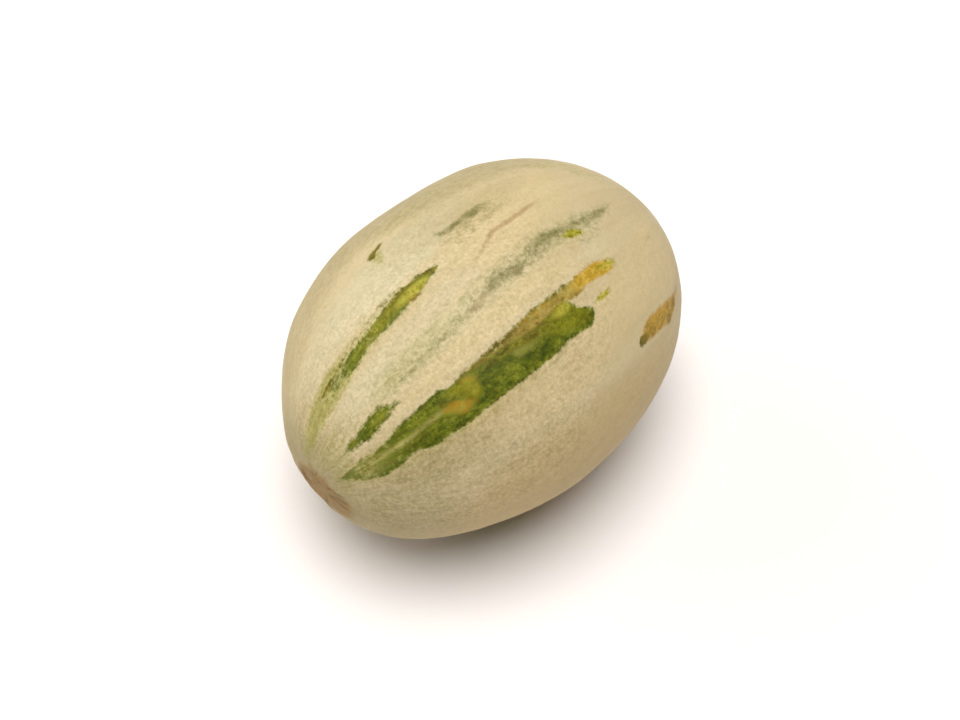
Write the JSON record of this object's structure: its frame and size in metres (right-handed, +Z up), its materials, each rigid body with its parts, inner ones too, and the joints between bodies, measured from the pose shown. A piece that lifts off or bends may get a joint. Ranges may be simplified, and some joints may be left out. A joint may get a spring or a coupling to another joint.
{
  "type": "muskmelon",
  "caption": "Oblong muskmelon with pale buff skin and lengthwise green streaks, lying on its side on a small flat ground spot, with a corky blossom scar and a round stem scar.",
  "frame": {"origin": "middle of the bottom of the bounding box, on the surface that the fruit lies on, under the middle of its ground spot", "axes": "+X along the fruit's long axis from the blossom end to the stem end, +Z up, +Y across"},
  "size_m": [0.158, 0.12, 0.1182],
  "materials": {
    "skin": "matte"
  },
  "bodies": {
    "root": {"muskmelon": "skin"}
  },
  "joints": []
}
